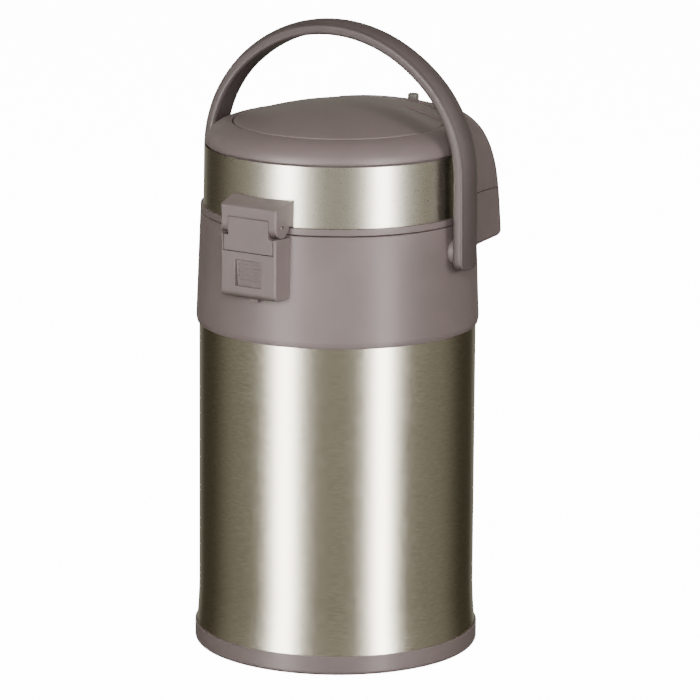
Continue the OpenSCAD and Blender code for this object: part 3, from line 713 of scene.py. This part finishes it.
def strap_path(leg_x):
    """Middle line of the strap from foot to foot, as (x, z, direction outwards, crown, half width).

    Each side has a straight leg with a rounded foot, then a corner, then half of the wider bow.
    """
    low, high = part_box("handle")
    foot, foot_round = low.z / MM, 5
    corner, turn = 76.0, math.radians(50)
    bow = corner + (leg_x - corner) / math.cos(turn)
    centre = high.z / MM - STRAP_MIDDLE - bow
    bend = centre + (bow - corner) * math.sin(turn)
    path = []
    for rise in (0, 0.35, 1, 2, 3.2, foot_round):
        half = STRAP_HALF - foot_round + math.sqrt(foot_round ** 2 - (foot_round - rise) ** 2)
        path.append((leg_x, foot + rise, 0, FOOT_CROWN, half))
    for k in range(1, 17):
        z = foot + foot_round + (bend - foot - foot_round) * k / 16
        path.append((leg_x, z, 0, FOOT_CROWN + (LEG_CROWN - FOOT_CROWN) * k / 16, STRAP_HALF))
    for k in range(1, 33):
        a = turn * k / 32
        x, z = leg_x - corner + corner * math.cos(a), bend + corner * math.sin(a)
        path.append((x, z, a, LEG_CROWN + (BOW_CROWN - LEG_CROWN) * k / 32, STRAP_HALF))
    for k in range(1, 29):
        a = turn + (math.pi / 2 - turn) * k / 28
        path.append((bow * math.cos(a), centre + bow * math.sin(a), a, BOW_CROWN, STRAP_HALF))
    return path + [(-x, z, math.pi - a, crown, half) for x, z, a, crown, half in path[-2::-1]]


def pivot_stud(side, leg_x):
    """Points and faces of the stud inside a foot, with a groove for its retaining clip."""
    around, tip = 32, 0.01
    profile = [(76.4, tip), (76.4, 3.6), (76.8, 4), (76.8, 3.2), (77.6, 3.2), (77.6, 4), (leg_x - 2, 4),
               (leg_x - 2, tip)]
    angles = [math.tau * i / around for i in range(around)]
    rings = [[(side * x, r * math.cos(a), PIVOT_Z + r * math.sin(a)) for a in angles] for x, r in profile]
    return tube(rings)


def handle():
    """The bail: one strap bent over the lid, stoutest over its bow, with a stud inside each foot."""
    leg_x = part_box("handle")[1].x / MM - STRAP_MIDDLE
    rings = [[(x + n * math.cos(a), w, z + n * math.sin(a)) for n, w in strap_section(crown, half)]
             for x, z, a, crown, half in strap_path(leg_x)]
    points, faces = joined(tube(rings), pivot_stud(-1, leg_x), pivot_stud(1, leg_x))
    strap = piece("handle_strap", points, faces, "bail", "taupe_plastic", "handle")
    # The strap takes the darkened copy of the taupe plastic, which is painted shade.
    strap.data.materials[0] = MATERIALS["handle_taupe_painted_shade"]


# ---- Studio ----

LIGHT_DISTANCE = 1.8
STRIP_WHITE = (1.0, 0.975, 0.92)
SOFT_WHITE = (1.0, 0.98, 0.98)


def area_light(name, turn, height, width, tall, watts, colour, aim):
    """A softbox turned round the object from the camera's side, in degrees, aimed at a point on the axis."""
    data = bpy.data.lights.new(name, "AREA")
    data.shape = "RECTANGLE"
    data.size = width
    data.size_y = tall
    data.energy = watts
    data.color = colour
    light = bpy.data.objects.new(name, data)
    scene.collection.objects.link(light)
    a = math.radians(VIEW_AZIMUTH + turn)
    light.location = (math.sin(a) * LIGHT_DISTANCE, -math.cos(a) * LIGHT_DISTANCE, height)
    light.rotation_mode = "QUATERNION"
    light.rotation_quaternion = (Vector((0, 0, aim)) - light.location).to_track_quat("-Z", "Y")
    return light


def world_light():
    """White to the camera. All else sees a dim room, darker beyond the object and lit far behind it."""
    world = bpy.data.worlds.new("studio")
    scene.world = world
    world.use_nodes = True
    tree = world.node_tree
    seen = tree.nodes["Background"]
    seen.inputs["Color"].default_value = (1, 1, 1, 1)
    seen.inputs["Strength"].default_value = 12.0
    place = add(tree, "ShaderNodeTexCoord")
    facing = add(tree, "ShaderNodeVectorMath", operation="DOT_PRODUCT")
    a = math.radians(VIEW_AZIMUTH)
    facing.inputs[1].default_value = (math.sin(a), -math.cos(a), 0)
    tree.links.new(place.outputs["Generated"], facing.inputs[0])
    turn = remap(tree, facing.outputs["Value"], 0.0, 1.0, -1.0, 1.0)
    dark = (0.05, 0.045, 0.025)
    room = ramp(tree, turn, [(0.0, (0.50, 0.50, 0.42)), (0.03, (0.40, 0.39, 0.32)), (0.08, dark),
                             (0.24, dark), (0.42, (0.23, 0.215, 0.165)), (1.0, (0.31, 0.295, 0.235))])
    hidden = add(tree, "ShaderNodeBackground")
    tree.links.new(room, hidden.inputs["Color"])
    path = add(tree, "ShaderNodeLightPath")
    mix = add(tree, "ShaderNodeMixShader")
    tree.links.new(path.outputs["Is Camera Ray"], mix.inputs[0])
    tree.links.new(hidden.outputs[0], mix.inputs[1])
    tree.links.new(seen.outputs[0], mix.inputs[2])
    tree.links.new(mix.outputs[0], tree.nodes["World Output"].inputs["Surface"])


def studio():
    """Two tall strips that only mirrors see, and soft lights that shape the matt surfaces."""
    for name, turn, width, watts in (("strip_left", -43, 0.47, 74), ("strip_right", 37.5, 0.36, 70)):
        strip = area_light(name, turn, 0.0, width, 3.0, watts, STRIP_WHITE, 0.0)
        strip.visible_diffuse = False
    for name, turn, height, size, watts in (
            ("key", 52, 0.75, 0.35, 16), ("fill_left", -35, 0.75, 0.7, 20),
            ("fill_front", 0, 0.85, 0.7, 26), ("spout_right", 142.5, 0.9, 0.6, 7),
            ("spout_left", 217.5, 0.9, 0.6, 7)):
        soft = area_light(name, turn, height, size, size, watts, SOFT_WHITE, 0.19)
        soft.visible_glossy = False
    world_light()


def floor():
    """A pale disc whose edge is far outside the picture, just under the object. Mirrors see through it."""
    mesh = bpy.data.meshes.new("floor")
    form = bmesh.new()
    bmesh.ops.create_circle(form, cap_ends=True, segments=96, radius=14.0)
    form.to_mesh(mesh)
    form.free()
    sheet = bpy.data.objects.new("floor", mesh)
    sheet.location.z = -0.0003
    scene.collection.objects.link(sheet)
    material, tree, shader = new_material("pale_floor")
    shader.inputs["Base Color"].default_value = (0.90, 0.90, 0.90, 1)
    shader.inputs["Roughness"].default_value = 0.7
    shader.inputs["Emission Color"].default_value = (1, 1, 1, 1)
    dim = add(tree, "ShaderNodeBsdfDiffuse")
    dim.inputs["Color"].default_value = (0.10, 0.095, 0.075, 1)
    path = add(tree, "ShaderNodeLightPath")
    mix = add(tree, "ShaderNodeMixShader")
    glow = remap(tree, path.outputs["Is Camera Ray"], 0.0, 14.0, 0.0, 1.0)
    tree.links.new(glow, shader.inputs["Emission Strength"])
    tree.links.new(path.outputs["Is Camera Ray"], mix.inputs[0])
    tree.links.new(dim.outputs[0], mix.inputs[1])
    tree.links.new(shader.outputs[0], mix.inputs[2])
    tree.links.new(mix.outputs[0], tree.nodes["Material Output"].inputs["Surface"])
    mesh.materials.append(material)
    sheet.visible_glossy = False


def camera():
    """The photograph's viewpoint."""
    data = bpy.data.cameras.new("camera")
    data.sensor_width = 36
    data.lens = VIEW_LENS
    data.shift_x = VIEW_SHIFT
    data.clip_end = 100
    eye = bpy.data.objects.new("camera", data)
    scene.collection.objects.link(eye)
    a, p = math.radians(VIEW_AZIMUTH), math.radians(VIEW_PITCH)
    eye.location = (math.sin(a) * VIEW_DISTANCE, -math.cos(a) * VIEW_DISTANCE, VIEW_HEIGHT)
    forward = Vector((-math.sin(a) * math.cos(p), math.cos(a) * math.cos(p), -math.sin(p)))
    eye.rotation_mode = "QUATERNION"
    roll = Quaternion((0, 0, 1), math.radians(VIEW_ROLL))
    eye.rotation_quaternion = forward.to_track_quat("-Z", "Y") @ roll
    scene.camera = eye


lid_cover()
spout_shell()
push_plate()
handle()
springy("bellows", "lid")
springy("return_spring", "lid")
springy("release_springs", "vessel")
studio()
floor()
camera()
